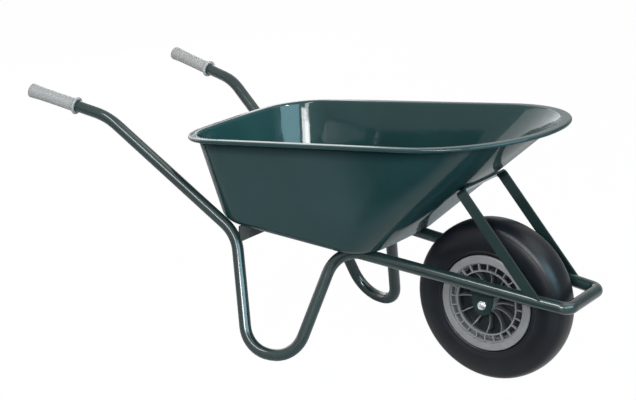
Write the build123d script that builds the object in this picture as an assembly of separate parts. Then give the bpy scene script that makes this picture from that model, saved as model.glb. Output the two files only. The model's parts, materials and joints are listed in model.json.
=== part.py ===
from build123d import *
import os
from math import pi, sqrt, tan

# Single-wheel barrow: a bent tube frame, a pressed tray with a rolled rim, and a wheel with an
# air-filled tyre on a ribbed plastic rim. +X runs forward to the wheel, +Y to the left, +Z up.
# The origin is on the ground, in the middle of the length. All lengths are in millimetres.
# "back" is a distance behind the axle, "half" a distance from the middle plane.

# Overall
overall_length = 1493.0
nose_room = 17.0  # between the tyre and the nose tube ahead of it
cut_overrun = 10.0  # how far a drilled cut reaches past the faces it goes through

# Frame tube
tube_diameter = 30.0
tube_wall = 1.5
handle_bend_radius = 150.0
leg_bend_radius = 110.0
rail_bend_radius = 80.0
nose_bend_radius = 150.0
foot_flat = 8.0  # straight length at the bottom of a leg loop

# Corners of the tube's path, before the bends are rounded
grip_end_half = 290.0
grip_end_height = 596.0
handle_reach = 240.0  # end of a grip to the handle bend, along the barrow
handle_bend_half = 258.0
handle_bend_height = 554.0
leg_bend_back = 647.0
leg_bend_half = 184.0
leg_bend_height = 284.5
foot_rear_back = 555.0
foot_rear_half = 262.0
foot_front_back = 429.0
foot_front_half = 234.0
rail_bend_back = 380.0
rail_bend_half = 119.0
rail_fall = 0.062  # drop of a rail for each unit forward
nose_bend_ahead = 152.0
nose_bend_half = 89.0
nose_half = 80.0
nose_corner_radius = 22.0
nose_joint = 45.0  # from a corner of the nose back to its weld on the rail

# Grips
grip_length = 148.0
grip_diameter = 35.0
grip_flare_diameter = 38.0
grip_flare_length = 30.0
grip_flange_diameter = 46.0
grip_flange_width = 6.0
grip_end_wall = 5.0
grip_fit = 0.1  # radial room between a grip and its tube
grip_rounding = 2.0

# Tray: a flat floor and a flat rim, each tilted, joined by straight-drawn walls
sheet = 1.2
rim_roll_diameter = 12.0
rim_overhang = 25.0  # outer edge of the roll to the wall
rim_flare_radius = 8.0  # bend between the wall and the lip, on its outside
rim_height_at_axle = 621.9
rim_rise = 0.123
rim_back = 815.0
rim_ahead = 149.0
rim_half = 268.0
rim_rear_corner = 138.0
rim_front_corner = 263.0
rim_rear_bow = 1860.0
rim_front_bow = 414.0
floor_height_at_axle = 286.2
floor_fall = 0.033
floor_rear_back = 737.0
floor_front_back = 263.0
floor_half = 191.0
floor_rear_corner = 113.0
floor_front_corner = 92.0
floor_bow = 2500.0
floor_edge_radius = 32.0
tray_seat_gap = 0.5  # room between the floor and the rails under it

# Rear cross brace: a flat bar on edge, welded between the leg bends, with two lugs for the tray
brace_back = 640.0
brace_height = 42.0
brace_thickness = 5.0
lug_reach = 36.0
lug_width = 50.0
lug_thickness = 4.0
lug_corner = 10.0

# Front stay: one flat strip bent to a U, from rail to rail under the tray's front wall
stay_back = 51.5  # at the tray's wall
stay_foot_ahead = 159.0  # at the rail
stay_half = 98.0
stay_width = 26.5
stay_thickness = 5.0
stay_bend_radius = 6.0
stay_seat_gap = 0.2

# Axle hangers: cranked plates under the rails
hanger_thickness = 5.0
hanger_top_width = 64.0
hanger_end_radius = 25.0
hanger_crank_above_axle = 28.0

# Axle
axle_diameter = 12.0
axle_head_flats = 17.0
axle_head_height = 6.5
axle_head_crown_radius = 22.0
axle_nut_height = 10.0
axle_hole_room = 0.2
axle_end_past_nut = 4.0
axle_washer_diameter = 22.0
axle_washer_thickness = 2.0
sleeve_diameter = 20.0
running_room = 0.05  # radial room between bush and sleeve
side_room = 0.6  # room between a bush flange and its hanger

# Wheel
tyre_diameter = 400.0
tyre_width = 100.0
tread_half = 37.0
tread_drop = 7.0
tread_thickness = 9.0
sidewall_thickness = 6.0
bead_seat_diameter = 203.0
bead_width = 15.0
bead_room = 0.2
bead_ring_height = 1.6
bead_ring_width = 9.0
rim_flange_diameter = 238.0
rim_width = 100.0
rim_flange_thickness = 6.0
rim_flange_rounding = 3.0
rim_face_inner_diameter = 200.0
barrel_thickness = 5.0
well_depth = 5.0
window_count = 24
window_bar = 3.0
window_bar_depth = 7.0
inner_ring_diameter = 163.0
inner_ring_width = 3.5
face_setback = 4.0  # window bars and inner ring lie behind the rim's outer face
rib_count = 12
rib_thickness = 2.6
rib_dip = 24.0  # how far the edge of a rib sinks between inner ring and hub
disc_thickness = 4.0
hub_diameter = 48.0
hub_length = 112.0
bush_wall = 3.0
bush_length = 26.0
bush_flange_diameter = 36.0
bush_flange_thickness = 3.0
inner_tube_wall = 2.5
inner_tube_room = 0.4
valve_diameter = 8.0
valve_room = 0.2
valve_length = 34.0
valve_offset = 22.0  # from the wheel's middle plane
valve_cap_diameter = 9.5
valve_cap_length = 8.0
valve_cap_rounding = 1.0

# Tray fasteners
bolt_diameter = 8.0
bolt_head_diameter = 19.0
bolt_head_height = 4.5
bolt_head_rounding = 3.6
tray_washer_diameter = 22.0
tray_washer_thickness = 1.5
front_bolt_back = 306.0
rear_bolt_half = 105.0
insert_diameter = 11.0
insert_length = 15.0
nut_flats = 13.0
nut_height = 6.5
nut_washer_diameter = 17.0
nut_washer_thickness = 1.6
bolt_end_past_nut = 3.0

# Places worked out from the sizes above
tube_radius = tube_diameter / 2
nose_reach = tyre_diameter / 2 + nose_room + tube_diameter  # axle to the foremost point
axle_x = overall_length / 2 - nose_reach
axle_z = tyre_diameter / 2
nose_x = axle_x + nose_reach - tube_radius
handle_bend_x = handle_reach - overall_length / 2
lip_rise = (rim_roll_diameter - sheet) / 2  # the lip runs out level with the top of the roll
hanger_inner = hub_length / 2 + bush_flange_thickness + side_room
hanger_outer = hanger_inner + hanger_thickness
axle_place = Vector(axle_x, 0, axle_z)
floor_plane = Plane(
    origin=(axle_x, 0, floor_height_at_axle), x_dir=(1, 0, -floor_fall), z_dir=(floor_fall, 0, 1)
)
rim_plane = Plane(
    origin=(axle_x, 0, rim_height_at_axle), x_dir=(1, 0, rim_rise), z_dir=(-rim_rise, 0, 1)
)
# The wheel is drawn about its own Z axis, which then points to the right-hand side.
wheel_plane = Plane(origin=axle_place, x_dir=(1, 0, 0), z_dir=(0, -1, 0))


def floor_underside(x):
    return floor_height_at_axle - floor_fall * (x - axle_x)


# The rails touch the floor just ahead of their rear bend, and fall away from it towards the nose.
rail_seat_x = axle_x - rail_bend_back + rail_bend_radius
rail_seat_z = floor_underside(rail_seat_x) - tube_radius - tray_seat_gap


def rail_height(x):
    return rail_seat_z - rail_fall * (x - rail_seat_x)


def rail_half(x):
    travel = (x - axle_x + rail_bend_back) / (nose_bend_ahead + rail_bend_back)
    return rail_bend_half + travel * (nose_bend_half - rail_bend_half)


def handle_end(side):
    # The end of a grip is square to the handle, so its lower edge reaches a little past the centre.
    bend = Vector(handle_bend_x, side * handle_bend_half, handle_bend_height)
    rough = Vector(-overall_length / 2, side * grip_end_half, grip_end_height)
    lean = (rough - bend).normalized()
    return rough + Vector(grip_flare_diameter / 2 * sqrt(1 - lean.X**2), 0, 0)


def handle_axis(side):
    bend = Vector(handle_bend_x, side * handle_bend_half, handle_bend_height)
    return (handle_end(side) - bend).normalized()


def nose_bend(side):
    x = axle_x + nose_bend_ahead
    return Vector(x, side * nose_bend_half, rail_height(x))


def nose_corner(side):
    return Vector(nose_x, side * nose_half, rail_height(nose_x))


def rail_end(side):
    # Where a side tube meets the nose tube, just behind the nose's corner.
    corner = nose_corner(side)
    return corner + (nose_bend(side) - corner).normalized() * nose_joint


def side_corners(side):
    rail_bend_x = axle_x - rail_bend_back
    return [
        handle_end(side) - handle_axis(side) * grip_end_wall,
        Vector(handle_bend_x, side * handle_bend_half, handle_bend_height),
        Vector(axle_x - leg_bend_back, side * leg_bend_half, leg_bend_height),
        Vector(axle_x - foot_rear_back, side * foot_rear_half, tube_radius),
        Vector(axle_x - foot_front_back, side * foot_front_half, tube_radius),
        Vector(rail_bend_x, side * rail_bend_half, rail_height(rail_bend_x)),
        nose_bend(side),
        rail_end(side),
    ]


def half_turn_tangent(before, corner, after):
    # Tangent length of a bend, for each unit of its radius.
    arriving = (corner - before).normalized()
    leaving = (after - corner).normalized()
    turn = arriving.get_angle(leaving) * pi / 180
    return tan(turn / 2)


def foot_bend_radius(corners):
    rear = half_turn_tangent(*corners[2:5])
    front = half_turn_tangent(*corners[3:6])
    return ((corners[4] - corners[3]).length - foot_flat) / (rear + front)


def bent_path(corners, radii):
    # Straight runs joined by tangent arcs, with one radius for each inner corner.
    edges = []
    start = corners[0]
    for before, corner, after, radius in zip(corners, corners[1:], corners[2:], radii):
        back = (before - corner).normalized()
        onward = (after - corner).normalized()
        bisector = (back + onward).normalized()
        reach = radius * half_turn_tangent(before, corner, after)
        first = corner + back * reach
        last = corner + onward * reach
        middle = corner + bisector * (sqrt(reach**2 + radius**2) - radius)
        edges.append(Edge.make_line(start, first))
        edges.append(Edge.make_three_point_arc(first, middle, last))
        start = last
    edges.append(Edge.make_line(start, corners[-1]))
    return Wire(edges)


def side_path(side):
    corners = side_corners(side)
    foot = foot_bend_radius(corners)
    radii = [handle_bend_radius, leg_bend_radius, foot, foot, rail_bend_radius, nose_bend_radius]
    return bent_path(corners, radii)


def along(path, section):
    return sweep(Plane(origin=path @ 0, z_dir=path % 0) * section, path=path)


def side_bar(side):
    # A side tube with no bore, for cutting the pieces that are welded to it.
    return along(side_path(side), Circle(tube_radius))


def tube_section():
    return Circle(tube_radius) - Circle(tube_radius - tube_wall)


def front_bolt_place(side):
    x = axle_x - front_bolt_back
    return floor_plane * Pos((x - axle_x) * sqrt(1 + floor_fall**2), side * rail_half(x), 0)


def side_tube(side):
    tube = along(side_path(side), tube_section())
    insert_hole = Pos(0, 0, -insert_length / 2) * Cylinder(insert_diameter / 2, insert_length)
    return tube - front_bolt_place(side) * insert_hole


def nose_tube():
    # The short bow in front of the wheel, from one rail to the other.
    corners = [rail_end(1), nose_corner(1), nose_corner(-1), rail_end(-1)]
    return along(bent_path(corners, [nose_corner_radius] * 2), tube_section())


def grip(side):
    # Revolved about its own axis, from the flange at z = 0 to the closed end.
    profile = make_face(
        Polyline(
            (0, grip_length),
            (grip_flare_diameter / 2, grip_length),
            (grip_diameter / 2, grip_length - grip_flare_length),
            (grip_diameter / 2, grip_flange_width),
            (grip_flange_diameter / 2, grip_flange_width),
            (grip_flange_diameter / 2, 0),
            (0, 0),
            close=True,
        )
    )
    body = revolve(Plane.XZ * profile, Axis.Z)
    rims = body.edges().filter_by(GeomType.CIRCLE)
    outer_end = rims.group_by(Axis.Z)[-1]
    flange = rims.group_by(SortBy.RADIUS)[-1]
    body = fillet(outer_end + flange, grip_rounding)
    depth = grip_length - grip_end_wall
    body -= Pos(0, 0, depth / 2) * Cylinder(tube_radius + grip_fit, depth)
    axis = handle_axis(side)
    return Plane(origin=handle_end(side) - axis * grip_length, z_dir=axis) * body


def corner_arc(centre, radius, start, end):
    middle = ((start - centre).normalized() + (end - centre).normalized()).normalized()
    return Edge.make_three_point_arc(start, centre + middle * radius, end)


def end_points(end, outward, half, corner, bow):
    # One end of the outline: where the bowed edge meets the corner, where the corner meets the
    # straight side, and the corner's centre. outward is 1 at the front and -1 at the rear.
    bow_centre = Vector(end - outward * bow, 0)
    rise = half - corner
    centre = Vector(bow_centre.X + outward * sqrt((bow - corner) ** 2 - rise**2), rise)
    meet = bow_centre + (centre - bow_centre).normalized() * bow
    return meet, Vector(centre.X, half), centre


def outline(rear, front, half, corners, bows, inset):
    # A closed outline of tangent arcs: bowed ends, round corners and straight sides, drawn inset.
    half -= inset
    rear += inset
    front -= inset
    rear_corner, front_corner = (corner - inset for corner in corners)
    rear_bow, front_bow = (bow - inset for bow in bows)
    front_meet, front_side, front_centre = end_points(front, 1, half, front_corner, front_bow)
    rear_meet, rear_side, rear_centre = end_points(rear, -1, half, rear_corner, rear_bow)

    def mirror_y(point):
        return Vector(point.X, -point.Y)

    return Wire(
        [
            Edge.make_three_point_arc(front_meet, Vector(front, 0), mirror_y(front_meet)),
            corner_arc(
                mirror_y(front_centre), front_corner, mirror_y(front_meet), mirror_y(front_side)
            ),
            Edge.make_line(mirror_y(front_side), mirror_y(rear_side)),
            corner_arc(mirror_y(rear_centre), rear_corner, mirror_y(rear_side), mirror_y(rear_meet)),
            Edge.make_three_point_arc(mirror_y(rear_meet), Vector(rear, 0), rear_meet),
            corner_arc(rear_centre, rear_corner, rear_meet, rear_side),
            Edge.make_line(rear_side, front_side),
            corner_arc(front_centre, front_corner, front_side, front_meet),
        ]
    )


def rim_outline(inset, rise):
    corners = (rim_rear_corner, rim_front_corner)
    bows = (rim_rear_bow, rim_front_bow)
    flat = outline(-rim_back, rim_ahead, rim_half, corners, bows, inset)
    return rim_plane * Pos(0, 0, rise) * flat


def floor_outline(inset):
    corners = (floor_rear_corner, floor_front_corner)
    bows = (floor_bow, floor_bow)
    flat = outline(-floor_rear_back, -floor_front_back, floor_half, corners, bows, inset)
    return floor_plane * Pos(0, 0, inset) * flat


def tray_form(inset, rise, slab):
    # The tray's walls as a solid, spread at the top into a slab as wide as the lip. With no inset
    # it is the outside of the pressing, and inset by the sheet it is the hollow.
    form = Solid.make_loft([floor_outline(inset), rim_outline(rim_overhang + inset, rise)], ruled=True)
    bottom = form.faces().sort_by(Axis.Z)[0]
    form = fillet(bottom.edges(), floor_edge_radius - inset)
    lip = Face(rim_outline(rim_roll_diameter / 2, rise))
    form = form + extrude(lip, slab, dir=rim_plane.z_dir)
    ledge = [face for face in form.faces().filter_by(GeomType.PLANE) if face.inner_wires()][0]
    return fillet(ledge.inner_wires()[0].edges(), rim_flare_radius + inset)


def tray():
    hollow = tray_form(sheet, lip_rise + sheet / 2, rim_roll_diameter)
    body = tray_form(0, lip_rise - sheet / 2, sheet) - hollow
    roll_path = rim_outline(rim_roll_diameter / 2, 0)
    body = body + along(roll_path, Circle(rim_roll_diameter / 2))
    hole = Cylinder(bolt_diameter / 2, 2 * (sheet + cut_overrun))
    places = [front_bolt_place(side) for side in (1, -1)] + rear_bolt_places()
    return body - [place * hole for place in places]


def rear_bolt_places():
    x = -brace_back + brace_thickness + lug_reach / 2
    return [floor_plane * Pos(x, side * rear_bolt_half, 0) for side in (1, -1)]


def rear_cross_brace():
    # Drawn in the floor's frame, with the bar's upper edge under the tray.
    length = 2 * leg_bend_half
    bar = Box(brace_thickness, length, brace_height, align=(Align.MIN, Align.CENTER, Align.MAX))
    bar = floor_plane * Pos(-brace_back, 0, 0) * bar
    return bar - [side_bar(1), side_bar(-1)]


def tray_lugs():
    # Plates welded to the front of the brace, flat under the tray.
    plate = Rectangle(lug_reach, lug_width)
    plate = fillet(plate.vertices().group_by(Axis.X)[-1], lug_corner)
    lug = extrude(plate - Circle(bolt_diameter / 2), -lug_thickness)
    return Compound([place * lug for place in rear_bolt_places()])


def front_wall_ends():
    # The middle line of the tray's front wall, from floor to rim.
    low = floor_plane.from_local_coords(Vector(-floor_front_back, 0, 0))
    high = rim_plane.from_local_coords(Vector(rim_ahead - rim_overhang, 0, lip_rise - sheet / 2))
    return low, high


def front_stay():
    low, high = front_wall_ends()
    wall = (high - low).normalized()
    top = low + wall * ((axle_x - stay_back - low.X) / wall.X)
    foot_x = axle_x + stay_foot_ahead
    foot = Vector(foot_x, 0, rail_height(foot_x))
    # Each leg runs from the wall down to the axis of its rail. The strip lies under the wall,
    # turned a little from it, with one edge nearest.
    down = (foot - top).normalized()
    leg = (foot - top).length
    seat = stay_seat_gap + stay_width / 2 * abs(wall.dot(down))
    outer_width = 2 * stay_half + stay_thickness
    outer = Rectangle(outer_width, leg, align=(Align.CENTER, Align.MAX))
    outer = fillet(outer.vertices().group_by(Axis.Y)[-1], stay_bend_radius + stay_thickness)
    inner = Rectangle(outer_width - 2 * stay_thickness, leg, align=(Align.CENTER, Align.MAX))
    inner = fillet(inner.vertices().group_by(Axis.Y)[-1], stay_bend_radius)
    strip = extrude(outer - Pos(0, -stay_thickness) * inner, stay_width / 2, both=True)
    place = Plane(origin=top + down * seat, x_dir=(0, 1, 0), z_dir=Vector(-down.Z, 0, down.X))
    return place * strip - [side_bar(1), side_bar(-1)]


def axle_hanger(side):
    # Seen from the front, a strip cranked outward to the rail; seen from the side, a plate that
    # narrows to a round end about the axle.
    middle = hanger_inner + hanger_thickness / 2
    rail_y = rail_half(axle_x)
    rail_z = rail_height(axle_x)
    crank = Polyline(
        (side * middle, axle_z - hanger_end_radius),
        (side * middle, axle_z + hanger_crank_above_axle),
        (side * rail_y, rail_z),
    )
    across = Plane(origin=(axle_x, 0, 0), x_dir=(0, 1, 0), z_dir=(1, 0, 0))
    strip = extrude(across * trace(crank, hanger_thickness), hanger_top_width / 2, both=True)
    end = Pos(axle_x, axle_z) * Circle(hanger_end_radius)
    top = Pos(axle_x, rail_z) * Rectangle(hanger_top_width, tube_diameter)
    plate = extrude(Plane.XZ * make_hull(end.edges() + top.edges()), rail_y + tube_radius, both=True)
    hole = wheel_plane * Cylinder(axle_diameter / 2 + axle_hole_room, 2 * (hanger_outer + cut_overrun))
    return (strip & plate) - hole - side_bar(side)


def hexagon(flats):
    return RegularPolygon(flats / 2, 6, major_radius=False)


def hex_nut(flats, bore, height):
    return extrude(hexagon(flats) - Circle(bore / 2), height)


def ring(outer_diameter, inner_diameter, height):
    return extrude(Circle(outer_diameter / 2) - Circle(inner_diameter / 2), height)


def axle_bolt():
    head_face = hanger_outer + axle_washer_thickness
    length = 2 * head_face + axle_nut_height + axle_end_past_nut
    head = extrude(hexagon(axle_head_flats), axle_head_height)
    head &= Pos(0, 0, axle_head_height - axle_head_crown_radius) * Sphere(axle_head_crown_radius)
    shank = Pos(0, 0, -length / 2) * Cylinder(axle_diameter / 2, length)
    return wheel_plane * Pos(0, 0, head_face) * (head + shank)


def axle_nut():
    nut = hex_nut(axle_head_flats, axle_diameter, axle_nut_height)
    return wheel_plane * Pos(0, 0, -hanger_outer - axle_washer_thickness - axle_nut_height) * nut


def axle_washers():
    washer = ring(axle_washer_diameter, axle_diameter + 2 * axle_hole_room, axle_washer_thickness)
    seats = (hanger_outer, -hanger_outer - axle_washer_thickness)
    return Compound([wheel_plane * Pos(0, 0, seat) * washer for seat in seats])


def axle_sleeve():
    length = 2 * hanger_inner
    tube = ring(sleeve_diameter, axle_diameter + 2 * axle_hole_room, length)
    return wheel_plane * Pos(0, 0, -length / 2) * tube


def wheel_bush(side):
    # A plain bearing pressed into the hub. Its flange keeps the wheel off the hanger.
    bore = sleeve_diameter + 2 * running_room
    barrel = ring(bore + 2 * bush_wall, bore, bush_length)
    flange = Pos(0, 0, bush_length) * ring(bush_flange_diameter, bore, bush_flange_thickness)
    bush = Pos(0, 0, hub_length / 2 - bush_length) * (barrel + flange)
    return wheel_plane * (bush if side < 0 else mirror(bush, Plane.XY))


def spun(outline_edges):
    # Revolves an outline, given as radius and distance from the wheel's middle plane.
    return revolve(Plane.XZ * make_face(outline_edges), Axis.Z)


def both_faces(solid):
    return [solid, mirror(solid, Plane.XY)]


bead_seat = bead_seat_diameter / 2
well_radius = bead_seat - well_depth
flange_inner_z = rim_width / 2 - rim_flange_thickness
face_z = rim_width / 2 - face_setback


def rim_barrel():
    # Hub, middle disc, barrel with its well, and the two flanges, in one closed half-section.
    hub_bore = sleeve_diameter / 2 + running_room + bush_wall
    hub = hub_diameter / 2
    disc = disc_thickness / 2
    well_half = flange_inner_z - bead_width - well_depth
    flange = rim_flange_diameter / 2
    face_inner = rim_face_inner_diameter / 2
    half = Polyline(
        (hub_bore, 0),
        (hub_bore, hub_length / 2),
        (hub, hub_length / 2),
        (hub, disc),
        (well_radius - barrel_thickness, disc),
        (well_radius - barrel_thickness, well_half),
        (bead_seat - barrel_thickness, well_half + well_depth),
        (bead_seat - barrel_thickness, flange_inner_z),
        (face_inner, flange_inner_z),
        (face_inner, rim_width / 2),
        (flange, rim_width / 2),
        (flange, flange_inner_z),
        (bead_seat, flange_inner_z),
        (bead_seat, well_half + well_depth),
        (well_radius, well_half),
        (well_radius, 0),
        close=True,
    )
    body = spun(half)
    lips = body.edges().filter_by(GeomType.CIRCLE).group_by(Axis.Z)[-2]
    body = fillet(lips.sort_by(SortBy.RADIUS)[-1:], rim_flange_rounding)
    return body


def rim_rib():
    # A thin radial web from hub to inner ring. Its edge dips between the two.
    hub = hub_diameter / 2 - rib_thickness
    ring_radius = inner_ring_diameter / 2 - inner_ring_width / 2
    middle = (hub + ring_radius) / 2
    edge = ThreePointArc((hub, face_z), (middle, face_z - rib_dip), (ring_radius, face_z))
    sides = Polyline((ring_radius, face_z), (ring_radius, 0), (hub, 0), (hub, face_z))
    return extrude(Plane.XZ * make_face([edge, sides]), rib_thickness / 2, both=True)


def wheel_rim():
    ring_outer = inner_ring_diameter / 2
    bar_length = bead_seat - barrel_thickness / 2 - ring_outer + inner_ring_width / 2
    bar_middle = ring_outer - inner_ring_width / 2 + bar_length / 2
    bar = Pos(bar_middle, 0, face_z - window_bar_depth / 2) * Box(bar_length, window_bar, window_bar_depth)
    inner_ring = ring(inner_ring_diameter, inner_ring_diameter - 2 * inner_ring_width, window_bar_depth)
    inner_ring = Pos(0, 0, face_z - window_bar_depth) * inner_ring
    rib = rim_rib()
    barrel = rim_barrel()
    pieces = both_faces(barrel) + both_faces(inner_ring)
    for turn in range(window_count):
        pieces += [Rot(0, 0, 360 * turn / window_count) * half for half in both_faces(bar)]
    for turn in range(rib_count):
        pieces += [Rot(0, 0, 360 * turn / rib_count) * half for half in both_faces(rib)]
    body = pieces[0].fuse(*pieces[1:])
    return wheel_plane * (body - valve_place() * Cylinder(valve_diameter / 2 + valve_room, bead_seat))


def tyre():
    crown = tyre_diameter / 2
    shoulder = crown - tread_drop
    flank = tyre_width / 2
    bead_z = flange_inner_z - bead_room
    toe_z = bead_z - bead_width
    lining_z = bead_z - sidewall_thickness
    bead = bead_seat + bead_room
    ring_start = rim_flange_diameter / 2 + bead_ring_height
    ring_end = ring_start + bead_ring_width
    ring_z = flank - sidewall_thickness / 2
    widest = (shoulder + ring_end) / 2
    lining = shoulder - tread_thickness
    half = [
        Line((crown - tread_thickness, 0), (crown, 0)),
        ThreePointArc(
            (crown, 0),
            (crown - tread_drop / 4, tread_half / 2),
            (shoulder, tread_half),
        ),
        ThreePointArc((shoulder, tread_half), (widest, flank), (ring_end, ring_z)),
        ThreePointArc(
            (ring_end, ring_z),
            ((ring_start + ring_end) / 2, ring_z + bead_ring_height / 2),
            (ring_start, bead_z),
        ),
        Polyline((ring_start, bead_z), (bead, bead_z), (bead, toe_z), (ring_start, lining_z)),
        ThreePointArc(
            (ring_start, lining_z),
            (widest, flank - sidewall_thickness),
            (lining, tread_half - sidewall_thickness),
        ),
        ThreePointArc(
            (lining, tread_half - sidewall_thickness),
            (crown - tread_thickness - tread_drop / 4, tread_half / 2 - sidewall_thickness / 2),
            (crown - tread_thickness, 0),
        ),
    ]
    carcass = spun(half)
    return wheel_plane * carcass.fuse(mirror(carcass, Plane.XY))


def inner_tube_form(wall):
    low = well_radius + inner_tube_room
    high = tyre_diameter / 2 - tread_thickness - inner_tube_room
    half_width = tyre_width / 2 - 2 * sidewall_thickness
    section = Ellipse((high - low) / 2 - wall, half_width - wall)
    return revolve(Plane.XZ * (Pos((high + low) / 2, 0) * section), Axis.Z)


def inner_tube():
    return wheel_plane * (inner_tube_form(0) - inner_tube_form(inner_tube_wall))


def valve_place():
    # Half way between two ribs, on the left-hand side of the wheel, pointing inward.
    turn = 180 / rib_count
    outside = Pos(bead_seat + bead_width, 0, -valve_offset)
    return Rot(0, 0, turn) * outside * Rot(0, -90, 0)


def valve_reach():
    return bead_width + well_depth + barrel_thickness + valve_length


def valve_stem():
    stem = extrude(Circle(valve_diameter / 2), valve_reach())
    return wheel_plane * (valve_place() * stem - inner_tube_form(0))


def valve_cap():
    cap = Pos(0, 0, valve_reach()) * extrude(Circle(valve_cap_diameter / 2), valve_cap_length)
    return wheel_plane * valve_place() * fillet(cap.edges().group_by(Axis.Z)[-1], valve_cap_rounding)


def tray_bolt(place, grip_depth):
    # Mushroom head on a washer inside the tray; the shank ends grip_depth below the floor.
    seat = sheet + tray_washer_thickness
    head = Pos(0, 0, seat) * extrude(Circle(bolt_head_diameter / 2), bolt_head_height)
    head = fillet(head.edges().group_by(Axis.Z)[-1], bolt_head_rounding)
    length = seat + grip_depth
    shank = Pos(0, 0, seat - length / 2) * Cylinder(bolt_diameter / 2, length)
    return place * (head + shank)


def front_tray_bolts():
    return Compound([tray_bolt(front_bolt_place(side), insert_length) for side in (1, -1)])


def rear_tray_bolts():
    depth = lug_thickness + nut_washer_thickness + nut_height + bolt_end_past_nut
    return Compound([tray_bolt(place, depth) for place in rear_bolt_places()])


def tray_washers():
    washer = Pos(0, 0, sheet) * ring(tray_washer_diameter, bolt_diameter, tray_washer_thickness)
    places = [front_bolt_place(side) for side in (1, -1)] + rear_bolt_places()
    return Compound([place * washer for place in places])


def rail_inserts():
    # Threaded sleeves in the rails' upper walls.
    sleeve = Pos(0, 0, -insert_length) * ring(insert_diameter, bolt_diameter, insert_length)
    return Compound([front_bolt_place(side) * sleeve & side_bar(side) for side in (1, -1)])


def nut_washers():
    washer = Pos(0, 0, -lug_thickness - nut_washer_thickness)
    washer = washer * ring(nut_washer_diameter, bolt_diameter, nut_washer_thickness)
    return Compound([place * washer for place in rear_bolt_places()])


def rear_tray_nuts():
    top = -lug_thickness - nut_washer_thickness
    nut = hex_nut(nut_flats, bolt_diameter, nut_height)
    return Compound([place * Pos(0, 0, top - nut_height) * nut for place in rear_bolt_places()])


left = 1
right = -1
sub_parts = {
    "left_side_tube": side_tube(left),
    "right_side_tube": side_tube(right),
    "nose_tube": nose_tube(),
    "rear_cross_brace": rear_cross_brace(),
    "tray_lugs": tray_lugs(),
    "front_stay": front_stay(),
    "left_axle_hanger": axle_hanger(left),
    "right_axle_hanger": axle_hanger(right),
    "left_grip": grip(left),
    "right_grip": grip(right),
    "tray": tray(),
    "front_tray_bolts": front_tray_bolts(),
    "rear_tray_bolts": rear_tray_bolts(),
    "tray_washers": tray_washers(),
    "rail_inserts": rail_inserts(),
    "nut_washers": nut_washers(),
    "rear_tray_nuts": rear_tray_nuts(),
    "axle_bolt": axle_bolt(),
    "axle_nut": axle_nut(),
    "axle_washers": axle_washers(),
    "axle_sleeve": axle_sleeve(),
    "left_wheel_bush": wheel_bush(left),
    "right_wheel_bush": wheel_bush(right),
    "wheel_rim": wheel_rim(),
    "tyre": tyre(),
    "inner_tube": inner_tube(),
    "valve_stem": valve_stem(),
    "valve_cap": valve_cap(),
}

os.makedirs("parts", exist_ok=True)
for name, shape in sub_parts.items():
    export_step(shape, f"parts/{name}.step")
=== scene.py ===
import bpy
import bmesh
import json
import math
from mathutils import Matrix, Vector


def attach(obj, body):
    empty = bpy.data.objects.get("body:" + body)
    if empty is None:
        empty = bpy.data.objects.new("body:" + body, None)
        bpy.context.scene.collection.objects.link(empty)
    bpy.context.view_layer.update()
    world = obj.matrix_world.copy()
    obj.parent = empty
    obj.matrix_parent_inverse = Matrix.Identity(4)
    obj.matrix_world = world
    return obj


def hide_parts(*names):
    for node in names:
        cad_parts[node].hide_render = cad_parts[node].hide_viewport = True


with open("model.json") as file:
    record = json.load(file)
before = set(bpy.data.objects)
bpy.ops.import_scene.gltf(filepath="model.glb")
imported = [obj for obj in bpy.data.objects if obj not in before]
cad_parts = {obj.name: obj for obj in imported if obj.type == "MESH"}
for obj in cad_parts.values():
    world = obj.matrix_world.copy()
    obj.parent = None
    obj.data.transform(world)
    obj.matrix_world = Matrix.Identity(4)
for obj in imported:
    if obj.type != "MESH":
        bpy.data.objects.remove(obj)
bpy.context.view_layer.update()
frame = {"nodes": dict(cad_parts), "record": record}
nodes = frame["nodes"]
print("frame loaded:", len(nodes), "nodes")

axlePlace = Vector((0.4995, 0.0, 0.2))
forwardAxis = Vector((1.0, 0.0, 0.0))
sideAxis = Vector((0.0, 1.0, 0.0))
upAxis = Vector((0.0, 0.0, 1.0))
quarterTurn = math.pi / 2


def outwardAt(azimuth, elevation):
    # Direction from the barrow to something seen at these angles
    turn, lift = math.radians(azimuth), math.radians(elevation)
    level = math.cos(lift)
    return Vector((math.sin(turn) * level, -math.cos(turn) * level, math.sin(lift)))


def addObject(name, data):
    thing = bpy.data.objects.new(name, data)
    bpy.context.scene.collection.objects.link(thing)
    return thing


# Camera, fitted to the photograph
cameraView = {
    "place": (2.1486, -3.0713, 1.5332),
    "azimuth": 35.284,
    "elevation": 17.452,
    "roll": 0.103,
    "focalPixels": 1534.65,
    "imageWidth": 636,
    "sensorWidth": 36.0,
}


def makeCamera(view):
    turn, lean = math.radians(view["azimuth"]), math.radians(view["roll"])
    ahead = -outwardAt(view["azimuth"], view["elevation"])
    right = Vector((math.cos(turn), math.sin(turn), 0.0))
    up = right.cross(ahead)
    leanRight = right * math.cos(lean) + up * math.sin(lean)
    leanUp = up * math.cos(lean) - right * math.sin(lean)
    data = bpy.data.cameras.new("photoCamera")
    data.sensor_fit = "HORIZONTAL"
    data.sensor_width = view["sensorWidth"]
    data.lens = view["sensorWidth"] * view["focalPixels"] / view["imageWidth"]
    camera = addObject("photoCamera", data)
    turned = Matrix((leanRight, leanUp, -ahead)).transposed().to_4x4()
    camera.matrix_world = Matrix.Translation(view["place"]) @ turned
    bpy.context.scene.camera = camera


makeCamera(cameraView)
bpy.context.scene.view_settings.view_transform = "Standard"
print("camera ready")


# Small helpers for node materials
def newMaterial(name):
    material = bpy.data.materials.new(name)
    material.use_nodes = True
    tree = material.node_tree
    return material, tree, tree.nodes["Principled BSDF"]


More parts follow.
